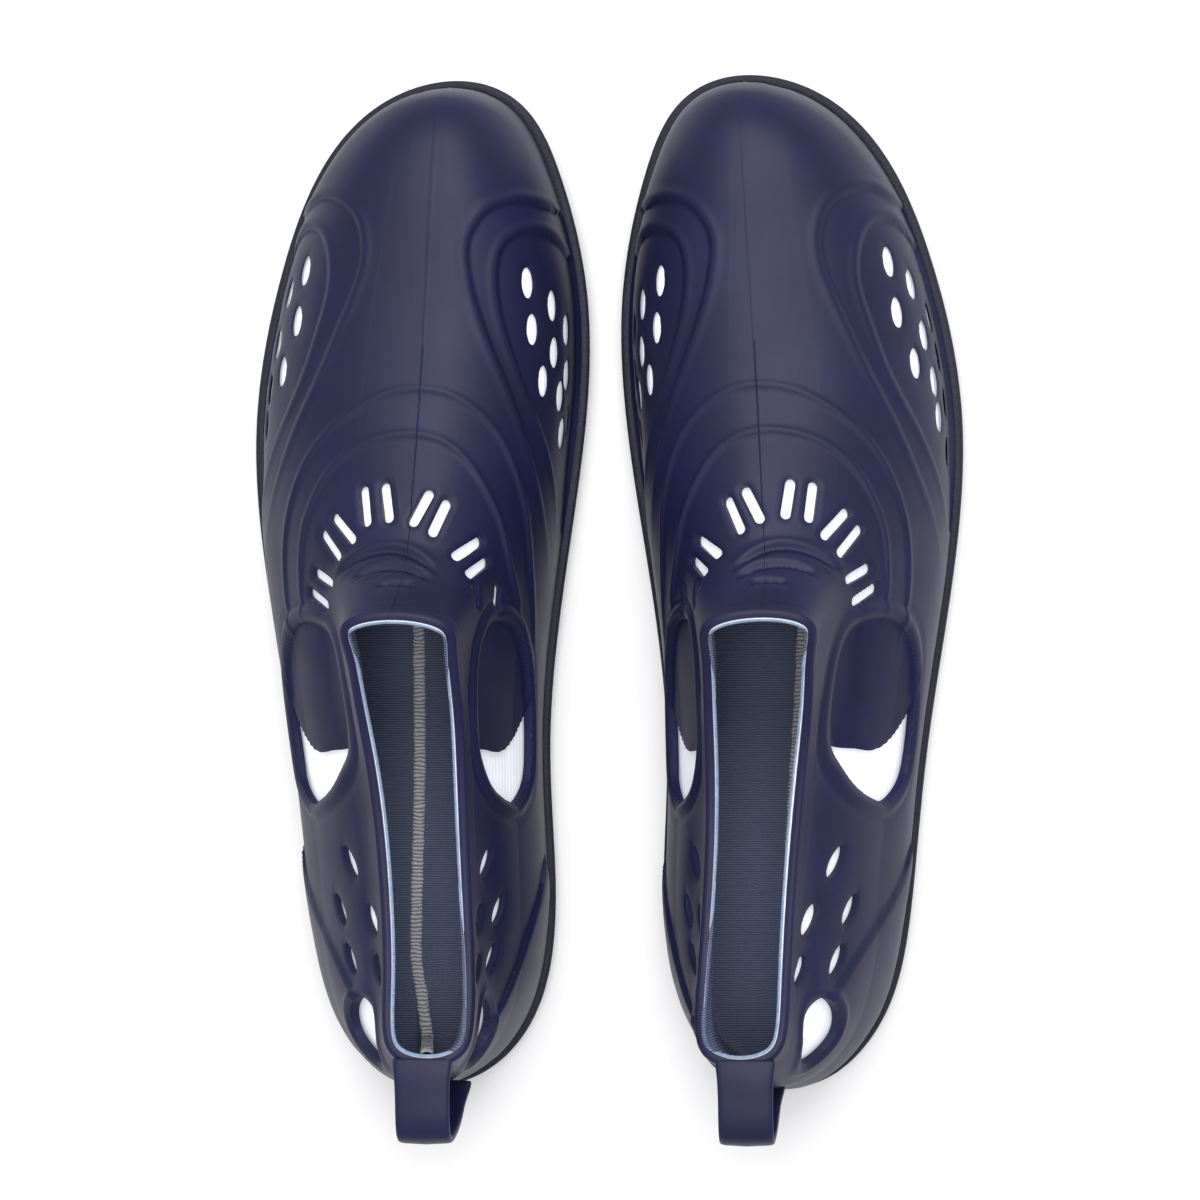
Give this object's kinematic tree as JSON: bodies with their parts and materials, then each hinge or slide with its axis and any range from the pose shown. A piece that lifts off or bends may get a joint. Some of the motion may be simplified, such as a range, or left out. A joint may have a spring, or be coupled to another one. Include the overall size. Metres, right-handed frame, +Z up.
{
  "type": "pair of slip-on water shoes",
  "caption": "Pair of low slip-on water shoes: moulded cage uppers on lugged rubber outsoles, textile sock linings and heel pull loops.",
  "frame": {"origin": "on the floor, midway between the two shoes and midway along their length", "axes": "+Z up, +Y towards the toes, X from the left shoe to the right shoe"},
  "size_m": [0.2008, 0.291, 0.091],
  "materials": {
    "cage_elastomer": "satin, moulded",
    "outsole_rubber": "matte, textured",
    "sock_knit": "knitted, matte",
    "seam_thread": "overlock thread",
    "footbed_foam": "closed-cell foam"
  },
  "bodies": {
    "left_shoe": {"left_outsole": "outsole_rubber", "left_footbed": "footbed_foam", "left_upper_shell": "cage_elastomer", "left_heel_pull_loop": "cage_elastomer", "left_sock_medial_half": "sock_knit", "left_sock_lateral_half": "sock_knit", "left_sock_seam": "seam_thread"},
    "right_shoe": {"right_outsole": "outsole_rubber", "right_footbed": "footbed_foam", "right_upper_shell": "cage_elastomer", "right_heel_pull_loop": "cage_elastomer", "right_sock_medial_half": "sock_knit", "right_sock_lateral_half": "sock_knit", "right_sock_seam": "seam_thread"}
  },
  "joints": [
    {"name": "pair_slide", "type": "slide", "parent": "left_shoe", "child": "right_shoe", "axis": [1, 0, 0], "range_m": [0, 0.15]}
  ]
}
